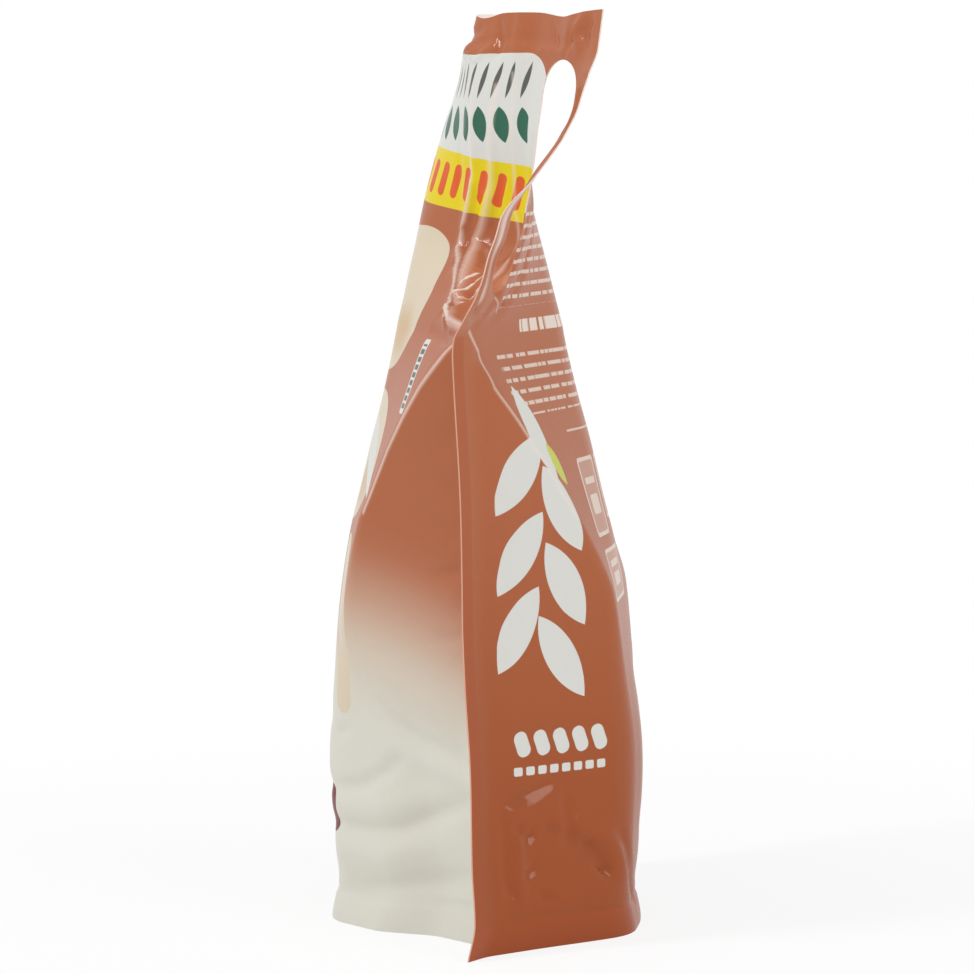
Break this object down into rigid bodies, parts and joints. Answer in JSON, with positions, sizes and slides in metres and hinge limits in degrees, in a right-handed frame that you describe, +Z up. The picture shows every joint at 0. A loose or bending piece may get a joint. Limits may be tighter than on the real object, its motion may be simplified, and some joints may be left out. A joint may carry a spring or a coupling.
{
  "type": "hand soap refill pack",
  "caption": "Filled stand-up refill pouch for liquid hand soap: glossy printed film, full base, swept handle corner with a finger slot.",
  "frame": {"origin": "on the ground under the middle of the pack, where the flat middle of its bottom film rests", "axes": "+X towards the side with the handle corner, -Y out of the front panel, +Z up"},
  "size_m": [0.1702, 0.0977, 0.28],
  "materials": {
    "printed_film": "gloss laminated film"
  },
  "bodies": {
    "root": {"refill_pouch": "printed_film"}
  },
  "joints": []
}
